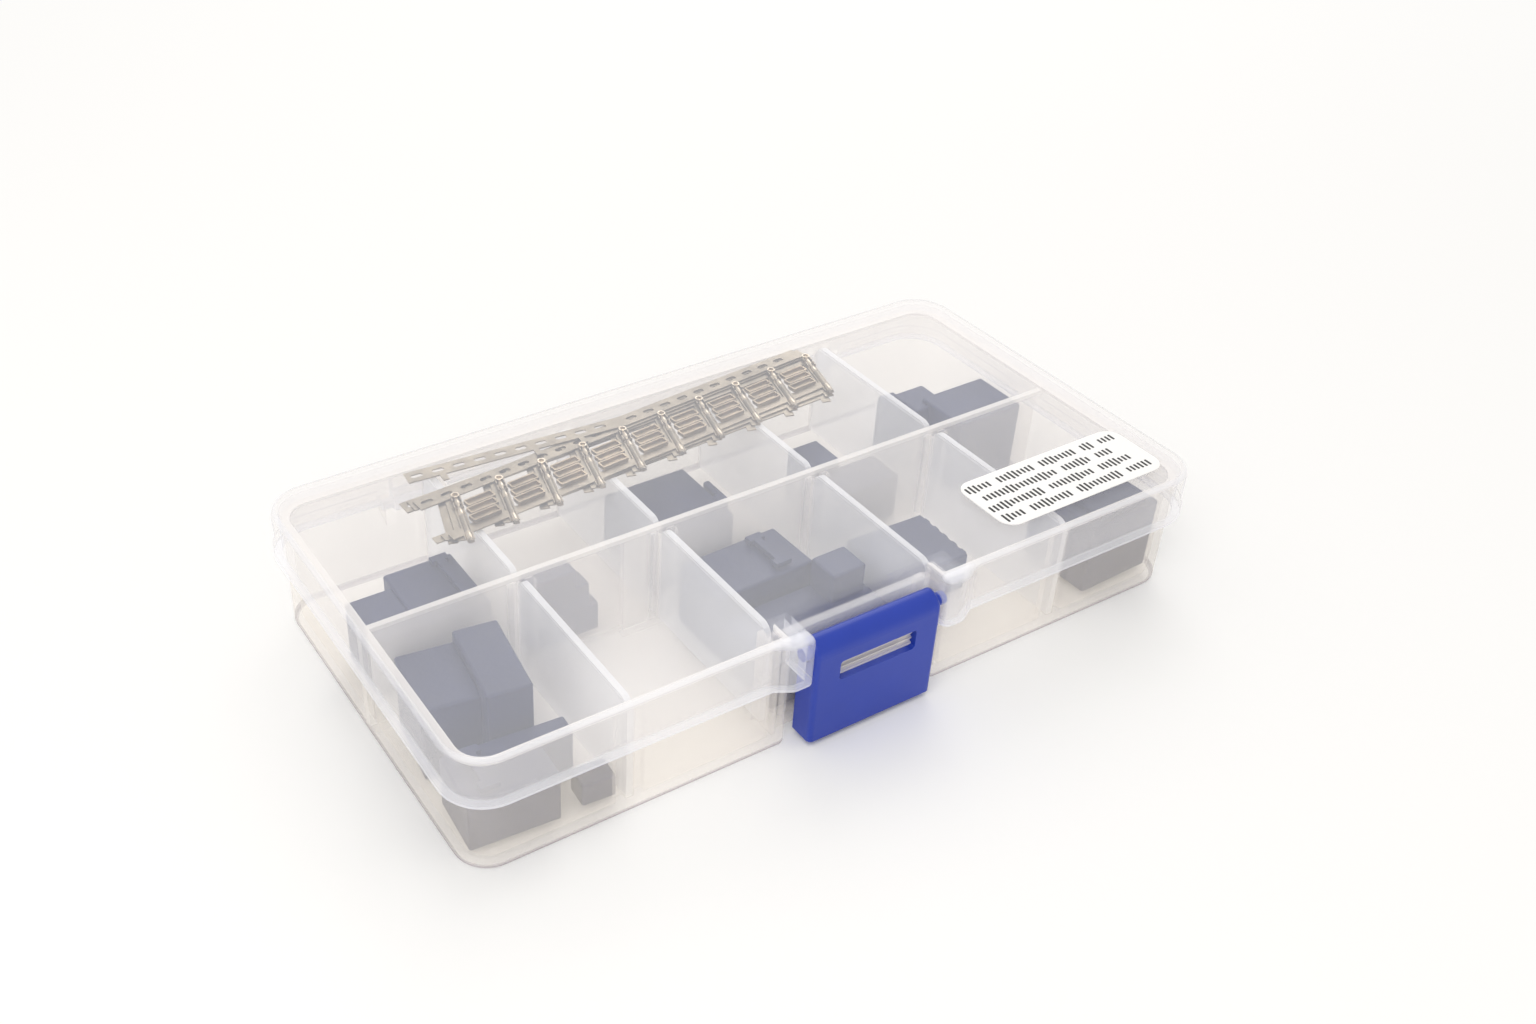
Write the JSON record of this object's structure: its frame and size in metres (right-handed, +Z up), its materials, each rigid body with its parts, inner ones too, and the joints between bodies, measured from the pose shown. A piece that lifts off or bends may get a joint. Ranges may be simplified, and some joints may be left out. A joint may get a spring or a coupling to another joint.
{
  "type": "compartment parts box",
  "caption": "Flat translucent parts box with dividers, a hinged lid and a front snap latch, holding crimp connector housings and terminal strips.",
  "frame": {"origin": "centre of the tray's underside", "axes": "+X along the box's length, +Y towards the hinge side, +Z up through the lid"},
  "size_m": [0.131, 0.0724, 0.0215],
  "materials": {
    "tray_plastic": "frosted translucent polypropylene",
    "divider_plastic": "frosted translucent polypropylene",
    "lid_plastic": "frosted translucent polypropylene, smooth outside",
    "latch_plastic": "royal blue polypropylene",
    "label_paper": "coated paper label",
    "tinned_metal": "bright tin plating on stamped copper alloy",
    "housing_nylon": "black moulded nylon"
  },
  "bodies": {
    "tray": {"base_tray": "tray_plastic", "divider_back_1": "divider_plastic", "divider_back_2": "divider_plastic", "divider_back_3": "divider_plastic", "divider_back_4": "divider_plastic", "divider_front_1": "divider_plastic", "divider_front_2": "divider_plastic", "divider_front_3": "divider_plastic", "divider_front_4": "divider_plastic", "terminal_strip_lower": "tinned_metal", "terminal_strip_middle": "tinned_metal", "terminal_strip_upper": "tinned_metal", "carrier_offcut": "tinned_metal", "housing_back_1_stepped": "housing_nylon", "housing_back_2_upright": "housing_nylon", "housing_back_3_hooked": "housing_nylon", "housing_back_4_wing": "housing_nylon", "housing_back_5_stair": "housing_nylon", "housing_front_1_key": "housing_nylon", "housing_front_1_low": "housing_nylon", "housing_front_1_tall": "housing_nylon", "housing_front_3_header": "housing_nylon", "housing_front_3_lever": "housing_nylon", "housing_front_4_flat": "housing_nylon", "housing_front_5_deep": "housing_nylon"},
    "lid": {"lid": "lid_plastic", "label": "label_paper"},
    "latch": {"latch": "latch_plastic"}
  },
  "joints": [
    {"name": "lid_hinge", "type": "hinge", "parent": "tray", "child": "lid", "pos_m": [0, 0.0347, 0.012], "axis": [-1, 0, 0], "range_deg": [0, 180]},
    {"name": "latch_hinge", "type": "hinge", "parent": "lid", "child": "latch", "pos_m": [0, -0.03365, 0.017], "axis": [-1, 0, 0], "range_deg": [0, 90]}
  ]
}
